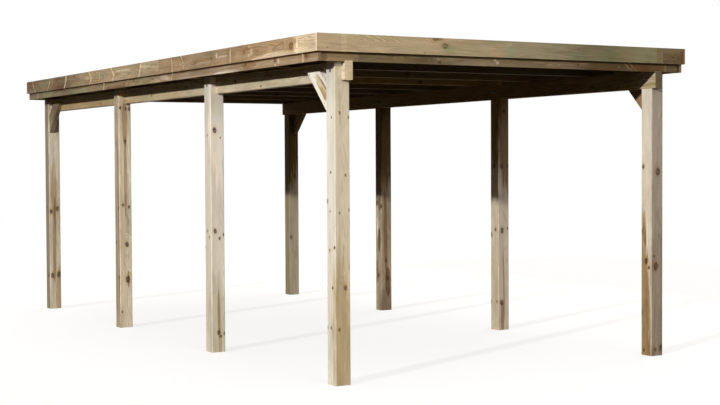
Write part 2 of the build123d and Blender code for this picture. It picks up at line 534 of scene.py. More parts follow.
def metres(lengths):
    """Metres from millimetres."""
    return [value / 1000 for value in lengths]


def tint(shares):
    """Colour, with alpha, from shares in per cent."""
    return (*(share / 100 for share in shares), 1.0)


def on_face(node, face, along, across):
    """Point on a face of a timber, in metres."""
    low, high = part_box(node)
    upright = node.startswith("post")
    underside = low.z + (along - high.y) * FALL
    if face in OUTWARD:
        x = low.x if face == "left" else high.x
        return Vector((x, low.y + across, along)) if upright else Vector((x, along, underside + across))
    y = low.y if face == "front" else high.y
    return Vector((low.x + across, y, along)) if upright else Vector((along, y, low.z + across))


def finish_timber(node, layout, timber, drawn=(), screws=None):
    """Gives a CAD timber its own wood; drawn are more knots, and screws are those of flush_screws."""
    settings = bpy.context.scene.carport_timber
    draw = random.Random(node)
    drawn_pith = (draw.choice((-1, 1)) * draw.uniform(0.05, 0.09), draw.uniform(-0.04, 0.04))
    drawn_lean = (draw.uniform(-0.02, 0.02), draw.uniform(-0.02, 0.02))
    pith = metres(timber.pith) or drawn_pith
    turn = layout @ Euler((*(timber.lean or drawn_lean), 0)).to_matrix()
    heart = middle(node) + layout @ Vector((*pith, 0))
    material, web = new_material(f"timber_{node}")
    mapping = {"Vector": web.coordinates(), "Location": heart, "Rotation": turn.to_euler()}
    place = web.add("ShaderNodeMapping", mapping, vector_type="TEXTURE")
    marks = [("left", mark) for mark in timber.left] + [("front", mark) for mark in timber.front]

    def in_log(face, along, across):
        return turn.transposed() @ (on_face(node, face, along, across) - heart)

    near = FAR_FROM_KNOTS
    knots = [(face, *metres(mark)) for face, mark in marks if len(mark) == KNOT_NUMBERS]
    for *spot, size in [*knots, *drawn]:
        point = in_log(*spot)
        if point.xy.length < SHORTEST_BRANCH:
            continue
        branch = Vector((point.x, point.y, BRANCH_RISE * point.xy.length))
        sockets = {"Place": place, "Point": point, "Heading": branch.normalized(), "Size": size}
        near = web.group(knot_group, {**sockets, "Taper": 1 / branch.length, "Nearness": near})

    normal = web.add("ShaderNodeNewGeometry")["True Normal"]
    tone = linear(timber.tone)
    if timber.front_tone:
        facing = abs(web.parts(normal)[1])
        tone = web.mix(web.step(facing, 0.5, 0.85), tone, linear(timber.front_tone))
    end = abs(web.vector("DOT_PRODUCT", normal, layout.col[2]))
    tone = web.mix(web.step(end, 0.75, 0.9), tone, tint(timber.end), "MULTIPLY")
    ragged = web.stretched_noise(place, (60, 60, 5), 3) - 0.5
    for face, mark in marks:
        if len(mark) == KNOT_NUMBERS:
            continue
        along, across, reach, wide = metres(mark[:-1])
        sockets = {"Color": tone, "Place": place, "Ragged": ragged, "Tint": tint(mark[-1])}
        sockets |= {"Centre": in_log(face, along, across), "Reach": (wide, wide, reach)}
        tone = web.group(patch_group, {**sockets, "Blur": 1.0 if wide > NARROW_PATCH else 0.5})

    centred = web.vector("ADD", place, (*pith, 0.0))
    spikes = {"Share": 0.0, "Flank": 0.0}
    for along, up, down, width in timber.spikes:
        along, width = metres((along, width))
        sockets = {"Place": centred, "At": along - layout.col[2].dot(middle(node)), "Width": width}
        spike = web.group(spike_group, {**sockets, **spikes, "Up": up, "Down": down})
        spikes = {"Share": spike["Share"], "Flank": spike["Flank"]}

    looks = {"Tone": tone, "Place": place, "Nearness": near}
    looks |= {"Spike": spikes["Share"], "Flank": spikes["Flank"]}
    looks |= {"Green": timber.green, "Contrast": timber.contrast, "Cracks": timber.cracks}
    knot = linear(timber.knot) if timber.knot else settings.knot
    looks |= {"Ring Width": settings.ring_width, "Knot": knot, "Bark": settings.bark}
    pine = web.group(pine_group, {**looks, "Pale": settings.pale, "Copper": settings.copper})
    sockets = {"Base Color": pine["Color"], "Roughness": pine["Roughness"]}
    sockets["Normal"] = web.bump(settings.grain_depth, GRAIN_BUMP, pine["Height"])
    if screws:
        sockets |= flush_screws(web, centred, pine, screws)
    show(web, {**sockets, "Specular IOR Level": TIMBER_SHINE})
    paint(node, material)


def flush_screws(web, centred, pine, screws):
    """Colour, roughness and metal of a board with flush screw heads; screws are (start, step, row)."""
    fixings = bpy.context.scene.carport_fixings
    place = web.parts(centred)
    sockets = {"Along": place[2], "Across": place[1], **dict(zip(("Start", "Step", "Row"), screws))}
    head = web.group(screws_group, {**sockets, "Width": fixings.screw_width})
    return {
        "Base Color": web.mix(head, pine["Color"], fixings.screw),
        "Roughness": head * -0.2 + pine["Roughness"],
        "Metallic": head,
    }


def more_knots(node, faces, low, high, across, chance):
    """Knots in whorls along a timber, drawn from its name, for the faces given, in metres."""
    draw = random.Random(node + "_knots")
    knots = []
    place = low + draw.uniform(0.05, 0.5)
    while place < high:
        for face in faces:
            if draw.random() < chance:
                spread = draw.uniform(0.15, 0.85) * across
                knots.append((face, place + draw.uniform(-0.03, 0.03), spread, draw.uniform(0.005, 0.016)))
        place += draw.uniform(0.35, 0.65)
    return knots


def varied(node, shade, light=1.0):
    """A timber whose tone is drawn from its name."""
    draw = random.Random(node + "_tone")
    light *= draw.uniform(0.88, 1.12)
    warmth = draw.uniform(0.94, 1.06)
    tone = (shade[0] * light, shade[1] * light / warmth**0.5, shade[2] * light / warmth)
    return Timber(web_code(tone), contrast=draw.uniform(0.45, 0.7))


# Tints of patches.
HEARTWOOD = (45, 34, 21)
SAPWOOD = (150, 165, 190)
# Painted shadow: a dark band along the top of the lower boards' face, where the upper boards overhang them.
PAINTED_SHADE_UNDER_BOARDS = (34, 26, 17)
BRIGHT_SAPWOOD = (175, 205, 260)

POSTS = {
    "post_left_front": Timber(
        "E7E1D5", "D3C5AC", knot="574A34", pith=(20, 70), contrast=0.4, cracks=0.5,
        left=(
            (1860, 45, 5), (1480, 60, 7), (1210, 70, 6), (940, 80, 7), (960, 12, 8), (680, 40, 8),
            (400, 60, 8), (400, 113, 7), (150, 60, 900, 72, (93, 90, 84)), (1600, 20, 700, 20, (94, 100, 92)),
        ),
        front=(
            (1890, 40, 7), (1860, 110, 6), (1460, 85, 7), (1200, 35, 6), (1220, 113, 7), (680, 80, 13),
            (390, 30, 8), (150, 60, 800, 72, (72, 65, 52)), (1930, 42, 130, 9, (84, 77, 66)),
            (550, 70, 200, 20, (92, 90, 84)),
        ),
    ),
    "post_left_second": Timber(
        "D3CABB", "E8DDCC", knot="4E3F2E", pith=(30, 60), contrast=0.35, cracks=0.4,
        left=((1770, 60, 6), (990, 70, 9), (940, 35, 7), (200, 60, 800, 72, (94, 92, 89))),
        front=(
            (1810, 37, 17), (1750, 87, 5), (990, 35, 14), (930, 75, 9), (960, 115, 10), (160, 60, 13),
            (130, 80, 9), (150, 112, 10), (320, 64, 200, 12, (62, 50, 34)), (80, 74, 120, 14, (74, 64, 50)),
            # Painted light: the patch at 2000 lightens the top of the front face, which the roof shades.
            (100, 60, 550, 75, (80, 79, 73)), (2000, 64, 620, 75, (133, 135, 137)),
        ),
    ),
    "post_left_third": Timber(
        "A99C86", "DCCDB4", knot="54361E", pith=(30, 50), green=0.0, contrast=0.75,
        left=(
            (1730, 70, 9), (1120, 30, 10), (800, 85, 10), (470, 30, 13), (1050, 30, 1000, 10, (60, 46, 34)),
            (600, 85, 700, 18, (78, 68, 58)),
        ),
        front=(
            (2060, 15, 10), (2050, 70, 9), (2050, 103, 11), (1750, 60, 10), (1150, 35, 10), (1130, 93, 10),
            (780, 70, 18), (450, 77, 23), (150, 15, 8), (1920, 58, 220, 26, (70, 54, 42)),
            (1420, 60, 420, 14, (70, 55, 42)), (450, 82, 80, 12, (60, 48, 36)),
            # Painted light: the patch at 2000 lightens the top of the front face, which the roof shades.
            (1100, 115, 1100, 22, (100, 108, 104)), (2000, 64, 750, 75, (127, 133, 133)),
        ),
    ),
    "post_left_rear": Timber(
        "857B68", "D5C8B0", knot="584028", pith=(20, 60), green=0.0, contrast=0.7,
        left=((1070, 85, 12), (350, 50, 12)),
        front=(
            (1030, 20, 17), (1060, 87, 18), (350, 30, 19), (360, 96, 21), (1250, 50, 320, 30, (86, 70, 58)),
            (700, 55, 450, 18, (62, 48, 36)), (150, 95, 300, 30, (80, 68, 54)),
            # Painted light: the patch at 1850 lightens the top of the front face, which the roof shades.
            (1850, 70, 450, 75, (128, 134, 140)), (1100, 12, 1200, 14, (108, 110, 112)),
        ),
    ),
    "post_right_front": Timber(
        "E7DAC6", "9D9184", knot="4A3A28", pith=(30, 70), contrast=0.55, cracks=0.4,
        left=(
            (1500, 95, 13), (750, 63, 16), (700, 30, 9), (40, 88, 9), (150, 116, 980, 104, HEARTWOOD),
            (1020, 80, 140, 18, (70, 58, 44)), (1350, 50, 300, 60, (94, 93, 90)),
            (1950, 60, 450, 68, (104, 106, 109)), (720, 30, 100, 14, (110, 112, 110)),
        ),
        front=(
            (1460, 65, 23), (710, 45, 23), (790, 30, 7), (60, 97, 20), (50, 44, 9),
            (1150, 60, 350, 68, (94, 95, 93)), (200, 60, 800, 100, (80, 75, 70)),
            (350, 100, 900, 16, (86, 86, 84)),
        ),
    ),
    "post_right_second": Timber(
        "CDC0A8", "BFB2A2", knot="54402C", pith=(20, 50), green=0.0, contrast=0.5,
        left=(
            (1500, 60, 10), (870, 108, 17), (920, 43, 11), (260, 23, 9), (250, 113, 10),
            # Painted shade: the patch at 1950 darkens and browns the top of this face under the roof; painted
            # light: the patch at 1350 lightens the face just above the sun's shadow edge.
            (1950, 66, 500, 68, (76, 62, 22)), (1350, 66, 170, 68, (160, 155, 150)),
            (300, 60, 500, 100, (94, 94, 90)),
        ),
        front=(
            (2000, 65, 10), (1500, 36, 15), (1500, 105, 10), (910, 44, 18), (930, 103, 8), (250, 36, 16),
            (420, 60, 460, 9, (70, 58, 46)), (120, 45, 160, 18, (62, 48, 36)),
            # Painted shade: this patch darkens the top of the front face under the roof.
            (1880, 75, 620, 76, (45, 35, 23.5)),
        ),
    ),
    "post_right_third": Timber(
        "A69984", "9C8D76", knot="4E3A28", pith=(10, 30), green=0.0, contrast=1.0,
        left=(
            (1110, 95, 18), (1080, 10, 14), (360, 63, 17), (740, 45, 130, 22, (40, 28, 19)),
            (1100, 40, 70, 30, (62, 50, 38)), (400, 90, 120, 18, (60, 46, 36)),
            (890, 60, 50, 20, (135, 140, 145)), (930, 85, 170, 22, (150, 155, 155)),
            # Painted shade: this patch browns the top of this face under the roof.
            (1850, 60, 600, 140, (122, 88, 50)),
        ),
        front=(
            (2050, 42, 13), (1410, 105, 18), (520, 50, 14), (330, 75, 14), (300, 75, 160, 30, (56, 42, 34)),
            (800, 50, 500, 20, (70, 55, 44)), (50, 60, 200, 90, (70, 66, 64)),
            # Painted shade: the patch at 1900 darkens the top of the front face under the roof.
            (550, 105, 500, 16, (120, 118, 115)), (1900, 60, 600, 140, (32, 34, 26)),
        ),
    ),
    "post_right_rear": Timber(
        "8A7C62", "A99E88", knot="54402C", pith=(30, 50), green=0.05, contrast=0.6,
        # Painted shade: the patch at 1850 darkens the top of this face under the roof.
        left=((1420, 60, 10), (1850, 60, 600, 140, (39, 29, 9))),
        front=(
            # Painted shade: the patch at 1850 darkens the top of the front face under the roof.
            (670, 20, 13), (1380, 70, 13), (1850, 60, 600, 140, (68, 58, 44)),
            (600, 110, 800, 20, (106, 108, 112)),
        ),
    ),
}

BEAMS = {
    "beam_left": Timber(
        "CFC2A7", "DBCBAA", end=(72, 70, 60), pith=(-70, 20), green=0.18, contrast=0.7, cracks=0.4,
        left=(
            (1600, 30, 10), (300, 50, 10), (-1900, 20, 8), (-3190, 70, 100, 100, (134, 134, 150)),
            (300, 30, 900, 100, (86, 80, 72)), (2200, 60, 1200, 200, (66, 56, 42)),
            # Painted shade: the patch at -1600 darkens a band near the top of the outer face, under the edge
            # boards.
            (-1600, 110, 1400, 20, (70, 62, 50)), (-1420, 40, 170, 90, (122, 120, 124)),
            (-690, 40, 200, 90, (85, 86, 88)), (-2750, 40, 220, 90, (110, 113, 120)),
        ),
    ),
    "beam_right": Timber(
        "9C8862", "8A7B5C", end=(33, 28, 22), pith=(-60, -20), green=0.1, contrast=0.8,
        left=(
            # Painted light: the patch at -3200 lightens the front end of the inner face, where the sun falls
            # in; painted shade: the patch at 600 darkens the inner face under the roof.
            (-3200, 60, 260, 120, (150, 170, 220)), (600, 60, 3200, 200, (70, 54, 36)),
            (-3100, 30, 300, 12, (80, 80, 66)),
        ),
    ),
}

BRACES = {
    "brace_left_front": Timber(
        "FFFAEC", knot="A8977A", pith=(40, 30), green=0.1, contrast=0.4,
        left=(
            (-2985, 110, 7), (-2955, 180, 130, 34, (72, 65, 51)), (-2985, 130, 80, 24, (76, 61, 46)),
            (-2945, 225, 90, 6, (52, 47, 40)), (-2920, 175, 90, 6, (66, 61, 52)),
            (-2990, 190, 80, 7, (54, 45, 35)),
        ),
    ),
    "brace_left_rear": Timber(
        # Painted light: the pale tone of its faces that look along the carport lightens the brace's
        # underside.
        "78664F", "F0DCBE", pith=(30, 50), contrast=0.9,
        left=((2990, 60, 90, 70, (125, 130, 130)),),
    ),
    "brace_right_front": Timber("9C7A58", pith=(30, 50), contrast=0.8),
    "brace_right_rear": Timber("8A6E4C", pith=(30, 50), contrast=0.8),
}

UPPER_BOARDS = {
    "upper_board_left_long": Timber(
        "A8967A", knot="6A5038", pith=(-90, 10), green=0.2, contrast=1.0,
        left=(
            (2500, 105, 8), (20, 75, 6), (1900, 108, 8), (2800, 60, 1300, 300, (77, 70, 71)),
            (3400, 60, 1400, 300, (60, 56, 53)), (1800, 60, 500, 300, (82, 82, 84)),
            (2180, 60, 180, 60, (90, 84, 80)), (1360, 65, 70, 22, (130, 130, 130)),
            (1600, 20, 800, 50, (88, 82, 74)), (420, 80, 200, 8, (135, 145, 160)),
            (-250, 90, 280, 32, (106, 114, 118)), (-100, 85, 140, 12, (130, 140, 145)),
        ),
        spikes=(
            (3000, 0.3, 0.9, 14), (2440, 1.7, -1, 18), (1950, -0.35, -0.65, 42), (1220, 1.1, -0.9, 26),
            (1000, 0.1, -0.1, 12), (620, 1.1, -1, 44), (0, -0.4, -0.7, 36),
        ),
    ),
    "upper_board_left_short": Timber(
        "A78E70", knot="8A6A46", pith=(-90, -10), green=0.0, contrast=1.0,
        left=(
            (-1500, 60, 9), (-2080, 70, 10), (-2840, 58, 21), (-2460, 75, 5), (-1470, 12, 6),
            (-2560, 0, 360, 36, (155, 172, 202)), (-3140, 60, 240, 140, (186, 216, 252)),
            (-2500, 60, 600, 100, (110, 110, 106)), (-1150, 60, 950, 300, (90, 92, 94)),
            (-1590, 76, 14, 24, BRIGHT_SAPWOOD), (-1700, 62, 100, 5, SAPWOOD), (-2200, 68, 22, 30, SAPWOOD),
            (-2165, 100, 20, 12, SAPWOOD), (-2160, 36, 20, 12, SAPWOOD), (-2925, 75, 12, 36, (140, 150, 170)),
            (-2840, 58, 45, 32, (94, 88, 78)), (-2040, 85, 160, 16, (86, 78, 68)),
            (-1300, 60, 220, 12, (86, 78, 68)),
        ),
        spikes=((-720, 0.1, 0.05, 24), (-1850, 0.05, -0.1, 26), (-970, 0.8, -0.9, 16)),
    ),
    "upper_board_front_long": Timber(
        "A89070", "B6A181", knot="7A6A48", end=(230, 250, 300), pith=(90, -50), lean=(0.02, 0), green=0.12,
        contrast=0.52,
        front=(
            (-700, 112, 12), (-620, 66, 17), (-1580, 24, 4), (-790, 14, 4),
            (-1450, 60, 22, 100, (112, 114, 116)), (-1250, 112, 250, 10, (96, 110, 98)),
            (-40, 40, 22, 60, (86, 105, 102)), (-50, 100, 22, 12, (125, 115, 110)),
            (-150, 50, 80, 50, (110, 100, 96)), (900, 40, 100, 50, (91, 103, 92)),
            (600, 30, 100, 30, (88, 102, 100)), (1250, 60, 120, 100, (105, 115, 116)),
            (-585, 48, 60, 34, (88, 104, 94)), (1400, 60, 35, 140, (90, 80, 68)),
            (1000, 60, 1250, 500, (78, 86, 88)), (1450, 60, 950, 500, (64, 62, 56)),
            (-680, 112, 50, 10, (70, 60, 48)), (450, 60, 1050, 500, (82, 82, 80)),
            (-800, 60, 300, 500, (95, 94, 94)), (620, 60, 380, 500, (87, 88, 88)),
        ),
        spikes=(
            (-1270, -2.6, 60, 18), (-1180, -2.6, 60, 26), (-1110, -2.6, 60, 22), (-1000, -2.6, 60, 18),
            (-720, -1.6, 60, 10),
        ),
    ),
    "upper_board_front_short": Timber(
        "A08868", "695640", knot="9A7448", end=(60, 50, 50), pith=(70, 10), contrast=1.2,
        front=(
            (1500, 50, 5), (1530, 70, 5), (1560, 55, 5), (1590, 75, 5), (1620, 60, 5),
            (1650, 60, 30, 140, (80, 72, 82)),
        ),
    ),
}

# Each lower board carries a band of painted shadow under the upper boards.
LOWER_BOARDS = {
    "lower_board_left_long": Timber(
        "9A886A", knot="5E452C", lean=(0, 0), pith=(-90, 0), green=0.2, contrast=1.1,
        left=(
            (450, 35, 10), (200, 45, 9), (-250, 30, 8), (0, 69, 9000, 17, PAINTED_SHADE_UNDER_BOARDS),
            (3200, 50, 2900, 600, (81, 84, 90)), (3200, 50, 1600, 300, (78, 76, 76)),
            (20, 40, 25, 30, (125, 130, 140)), (-100, 50, 80, 8, (125, 130, 140)),
            (-290, 8, 120, 24, (142, 150, 168)), (2480, 40, 50, 40, (120, 120, 120)),
            (600, 10, 300, 16, (68, 60, 48)), (1900, 55, 600, 14, (76, 66, 52)),
        ),
        spikes=((2900, 0.1, 0.1, 14), (940, -0.1, -0.1, 24), (320, -0.3, -0.6, 12)),
    ),
    "lower_board_left_short": Timber(
        "AB957A", knot="6A4E30", lean=(0, 0), pith=(-90, 10), green=0.0, contrast=1.0,
        left=(
            (-2550, 40, 12), (-2060, 40, 10), (-3020, 42, 9), (0, 69, 9000, 17, PAINTED_SHADE_UNDER_BOARDS),
            (-1720, 0, 240, 22, (155, 168, 190)), (-1300, 0, 600, 12, (145, 155, 175)),
            (-490, 34, 100, 22, (142, 150, 166)), (-600, 12, 80, 14, (135, 142, 155)),
            (-1050, 30, 1000, 500, (78, 80, 82)), (-1600, 48, 200, 14, (115, 115, 118)),
            (-2120, 35, 120, 30, (82, 72, 58)), (-2600, 36, 16, 20, SAPWOOD), (-2550, 10, 16, 10, SAPWOOD),
            (-3030, 40, 40, 20, (78, 66, 52)),
        ),
        spikes=((-2980, 0.1, 0.1, 32), (-700, 0.6, -0.6, 16)),
    ),
    "lower_board_front_short": Timber(
        "A08763", "8E7959", lean=(0, 0), pith=(90, 10), contrast=0.8,
        front=(
            (0, 69, 9000, 20, PAINTED_SHADE_UNDER_BOARDS), (-1600, 25, 30, 30, (62, 52, 56)),
            (-1470, 10, 160, 14, (115, 115, 112)),
        ),
    ),
    "lower_board_front_long": Timber(
        "9A8562", "796852", knot="3E2E1C", lean=(0, 0), pith=(90, 0), green=0.05, contrast=0.9,
        front=(
            (-655, 18, 9), (600, 35, 6), (0, 69, 9000, 20, PAINTED_SHADE_UNDER_BOARDS), (-1345, 40, 22, 100, (130, 130, 125)),
            (-1000, 30, 50, 30, (114, 120, 110)), (-668, 38, 10, 12, SAPWOOD), (-655, 26, 8, 8, SAPWOOD),
            (-420, 30, 280, 100, (120, 122, 120)), (-170, 46, 12, 12, BRIGHT_SAPWOOD),
            (-148, 28, 14, 14, BRIGHT_SAPWOOD), (240, 40, 50, 8, (130, 130, 125)),
            (330, 28, 30, 6, (135, 135, 130)), (700, 20, 40, 6, (130, 130, 125)),
            (1280, 25, 200, 30, (100, 84, 60)), (1470, 40, 10, 100, (170, 170, 160)),
            (1600, 40, 12, 100, (50, 45, 42)), (1350, 40, 750, 400, (50, 45.5, 37.5)),
            (1000, 40, 300, 400, (87, 70, 52)), (-1050, 40, 360, 400, (78, 77, 66)),
            (0, 40, 400, 600, (102, 105, 102)),
        ),
        spikes=((1040, -1, -1.2, 4), (1090, -1, -1.2, 4)),
    ),
}

# ---- new pieces ------------------------------------------------------------------------------------


def face_hit(node, start, direction):
    """Where a line from start meets a CAD node, and the way its face looks."""
    found, point, normal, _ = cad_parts[node].ray_cast(start, direction)
    if not found:
        raise RuntimeError(f"nothing of {node} lies along the line from {tuple(start)}")
    return point, normal


def stand(bm, point, direction):
    """Moves a bmesh that stands on the XY plane onto a point, upright along a direction."""
    turn = direction.to_track_quat("Z", "Y").to_matrix().to_4x4()
    bmesh.ops.transform(bm, matrix=Matrix.Translation(point) @ turn, verts=bm.verts)
    return bm


def turned(outline, steps):
    """A solid turned about Z from an outline of (radius, height) that starts and ends on Z."""
    bm = bmesh.new()
    points = [bm.verts.new((radius, 0, height)) for radius, height in outline]
    lines = [bm.edges.new(pair) for pair in zip(points, points[1:])]
    full = {"cent": (0, 0, 0), "axis": (0, 0, 1), "angle": math.tau, "steps": steps, "use_merge": True}
    bmesh.ops.spin(bm, geom=points + lines, **full)
    bmesh.ops.remove_doubles(bm, verts=bm.verts, dist=1e-6)
    bmesh.ops.recalc_face_normals(bm, faces=bm.faces)
    return bm


def prism(sides, across_flats, height, edge, foot=0.0):
    """A solid with that many sides, standing at the height of its foot, with its top edges bevelled."""
    bm = bmesh.new()
    radius = across_flats / 2 / math.cos(math.pi / sides)
    bmesh.ops.create_cone(bm, cap_ends=True, segments=sides, radius1=radius, radius2=radius, depth=height)
    top = [line for line in bm.edges if all(vert.co.z > 0 for vert in line.verts)]
    bevel = {"affect": "EDGES", "segments": 2, "profile": 0.5, "material": -1, "clamp_overlap": True}
    bmesh.ops.bevel(bm, geom=top, offset=edge, **bevel)
    bmesh.ops.translate(bm, vec=(0, 0, foot + height / 2), verts=bm.verts)
    return bm


def joined(parts):
    """One bmesh from several."""
    bm = bmesh.new()
    for part in parts:
        mesh = bpy.data.meshes.new("part")
        part.to_mesh(mesh)
        part.free()
        bm.from_mesh(mesh)
        bpy.data.meshes.remove(mesh)
    return bm


def linked(name, data):
    """A linked object at the origin, for a mesh, light or camera."""
    ob = bpy.data.objects.new(name, data)
    bpy.context.collection.objects.link(ob)
    return ob


def new_object(name, bm, material):
    """A linked object from a bmesh."""
    mesh = bpy.data.meshes.new(name)
    bm.to_mesh(mesh)
    bm.free()
    mesh.materials.append(material)
    return linked(name, mesh)


SHARP_EDGE = math.radians(35)


def new_fixing(name, parts, material):
    """Joins a fixing's parts into a piece that rides on the carport."""
    ob = new_object(name, joined(parts), material)
    ob.data.shade_smooth()
    ob.data.set_sharp_from_angle(angle=SHARP_EDGE)
    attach(ob, BODY)


def zinc_material(name, zinc):
    material, web = new_material(name)
    plated = web.group(zinc_group, {"Place": web.coordinates(), "Zinc": zinc})
    sockets = {"Base Color": plated["Color"], "Roughness": plated["Roughness"]}
    show(web, {**sockets, "Metallic": 0.04, "Specular IOR Level": 0.2})
    return material


# Outlines from the middle outwards, as shares of the radius and, in the dome, of the height.
SCREW_OUTLINE = ((0, -0.05), (0.28, -0.05), (0.36, 0.16), (0.75, 0.12), (1, 0), (0.45, -0.5), (0, -0.5))
DOME_OUTLINE = ((0, 1), (0.5, 0.85), (0.82, 0.5), (1, 0.12), (1, 0))
SCREW_STEPS, HEAD_STEPS, THREAD_STEPS = 14, 24, 20
HEXAGON, SMALL_WASHER_SIDES, WASHER_SIDES = 6, 12, 28
WASHER_EDGE, SMALL_EDGE, NUT_EDGE = 0.0004, 0.0006, 0.0012
THREAD_DEPTH = 0.6  # of the pitch


def screw_head(width):
    """Head of a wood screw: a shallow dome with a round recess."""
    return turned([(across * width / 2, up * width / 2) for across, up in SCREW_OUTLINE], SCREW_STEPS)


# ---- operators -------------------------------------------------------------------------------------

# Chance that a whorl shows a knot on a face that has none listed.
KNOT_CHANCE = {"post": 0.6, "beam": 0.8, "rafter": 0.5, "board": 0.8}
BRACE_SLANT = math.radians(45)
OUTSIDE = 3.0  # clear of the carport, for a line that comes in from the side


class CARPORT_OT_posts(bpy.types.Operator):
    """Finish the eight posts"""

    bl_idname = "carport.posts"
    bl_label = "Posts"

    def execute(self, context):
        for node, timber in POSTS.items():
            low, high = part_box(node)
            drawn = more_knots(node, ("right", "rear"), low.z, high.z, high.x - low.x, KNOT_CHANCE["post"])
            finish_timber(node, UPRIGHT, timber, drawn)
        return {"FINISHED"}


class CARPORT_OT_beams(bpy.types.Operator):
    """Finish the two beams"""

    bl_idname = "carport.beams"
    bl_label = "Beams"

    def execute(self, context):
        for node, timber in BEAMS.items():
            low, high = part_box(node)
            inner = "right" if node == "beam_left" else "left"
            drawn = more_knots(node, (inner,), low.y, high.y, high.z - low.z, KNOT_CHANCE["beam"])
            finish_timber(node, LENGTHWISE, timber, drawn)
        return {"FINISHED"}


class CARPORT_OT_braces(bpy.types.Operator):
    """Finish the four corner braces"""

    bl_idname = "carport.braces"
    bl_label = "Braces"

    def execute(self, context):
        for node, timber in BRACES.items():
            slant = -BRACE_SLANT if node.endswith("front") else BRACE_SLANT
            finish_timber(node, Matrix.Rotation(slant, 3, "X"), timber)
        return {"FINISHED"}


# Painted light and shade: how much paler or darker each rafter is made, from the front, for the light and
# shade that fall on them under the roof.
RAFTER_PAINTED_LIGHT = (1.0, 0.35, 0.85, 1.80, 0.50, 0.50, 0.80, 0.90, 1.0)


class CARPORT_OT_rafters(bpy.types.Operator):
    """Finish the rafters"""

    bl_idname = "carport.rafters"
    bl_label = "Rafters"

    def execute(self, context):
        shade = context.scene.carport_timber.rafter
        for node, light in zip(RAFTERS, RAFTER_PAINTED_LIGHT):
            low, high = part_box(node)
            drawn = more_knots(node, ("front", "rear"), low.x, high.x, high.z - low.z, KNOT_CHANCE["rafter"])
            finish_timber(node, CROSSWISE, varied(node, shade, light), drawn)
        return {"FINISHED"}


SCREW_ROW = 0.30  # of a board's height, from its middle line up and down to its screws


class CARPORT_OT_boards(bpy.types.Operator):
    """Finish the two tiers of edge boards"""

    bl_idname = "carport.boards"
    bl_label = "Edge boards"

    def execute(self, context):
        scene = context.scene
        listed = UPPER_BOARDS | LOWER_BOARDS
        for node in [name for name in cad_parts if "_board_" in name]:
            low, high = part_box(node)
            face = node.split("_")[2]
            lengthwise = face in OUTWARD
            start, stop = (low.y, high.y) if lengthwise else (low.x, high.x)
            timber, drawn, screws = listed.get(node), (), None
            if not timber:
                timber = varied(node, scene.carport_timber.plain_board)
                drawn = more_knots(node, (face,), start, stop, high.z - low.z, KNOT_CHANCE["board"])
            if node.startswith("upper"):
                spacing = RAFTER_STEP if lengthwise else scene.carport_fixings.end_screw_step
                screws = (-(start + stop) / 2, spacing, (high.z - low.z) * SCREW_ROW)
            finish_timber(node, LENGTHWISE if lengthwise else CROSSWISE, timber, drawn, screws)
        return {"FINISHED"}


SHEET_GRAIN, SHEET_BUMP = 0.15, 0.0005  # how strong and how deep the coat's fine grain is


class CARPORT_OT_sheets(bpy.types.Operator):
    """Finish the roof sheets"""

    bl_idname = "carport.sheets"
    bl_label = "Roof sheets"

    def execute(self, context):
        settings = context.scene.carport_sheets
        material, web = new_material("coated_steel")
        place = web.coordinates()
        dust = web.group(dust_group, {"Place": place})
        fine = web.noise(place, 900) - 0.5
        sockets = {
            "Base Color": web.mix(dust * 0.7, settings.coat, settings.dust),
            "Roughness": fine * 0.1 + (dust * 0.35 + settings.roughness),
            "Specular IOR Level": 0.2,
            "Normal": web.bump(SHEET_GRAIN, SHEET_BUMP, fine),
        }
        show(web, sockets)
        for node in SHEETS:
            paint(node, material)
        return {"FINISHED"}


class CARPORT_OT_bolts(bpy.types.Operator):
    """Make the bolts that hold the beams in the posts"""

    bl_idname = "carport.bolts"
    bl_label = "Bolts"

    def execute(self, context):
        fixings = context.scene.carport_fixings
        zinc = zinc_material("zinc_bolts", fixings.zinc)
        dull = zinc_material("zinc_bolt_heads", fixings.dull_zinc)
        for side, outward in OUTWARD.items():
            beam = f"beam_{side}"
            for place in PLACES:
                post = f"post_{side}_{place}"
                along = middle(post).y
                axis = Vector((outward, 0, 0))
                start = Vector((0, along, middle(beam).z + FALL * along))
                inner, _ = face_hit(beam, start, axis)
                outer, _ = face_hit(post, start + OUTSIDE * axis, -axis)
                head = bolt_head(fixings, (outer - inner).length)
                new_fixing(f"bolt_head_{side}_{place}", [stand(head, outer, axis)], dull)
                end = [stand(part, inner, -axis) for part in bolt_end(fixings)]
                new_fixing(f"bolt_end_{side}_{place}", end, zinc)
        return {"FINISHED"}


def bolt_head(fixings, reach):
    """Domed head, standing on the post, with its shank through the timbers."""
    radius, height, shank = fixings.head_width / 2, fixings.head_height, fixings.bolt_width / 2
    dome = [(across * radius, up * height) for across, up in DOME_OUTLINE]
    return turned([*dome, (shank, 0), (shank, -reach / 2), (0, -reach / 2)], HEAD_STEPS)


def bolt_end(fixings):
    """Washer, nut and threaded end, standing on the beam."""
    washer = fixings.washer_height
    disc = prism(WASHER_SIDES, fixings.washer_width, washer, WASHER_EDGE)
    nut = prism(HEXAGON, fixings.nut_width, fixings.nut_height, NUT_EDGE, washer)
    radius, pitch = fixings.bolt_width / 2, fixings.thread_pitch
    root = radius - pitch * THREAD_DEPTH
    start = washer + fixings.nut_height - pitch
    turns = round((fixings.bolt_proud - start) / pitch)
    outline = [(0, start), (root, start)]
    for turn in range(turns):
        outline += [(radius, start + (turn + 0.5) * pitch), (root, start + (turn + 1) * pitch)]
    outline.append((0, start + turns * pitch))
    return [disc, nut, turned(outline, THREAD_STEPS)]


BRACE_SCREWS = ((0.265, 0.285), (0.185, 0.262), (0.045, 0.075))  # from the post, and up the brace


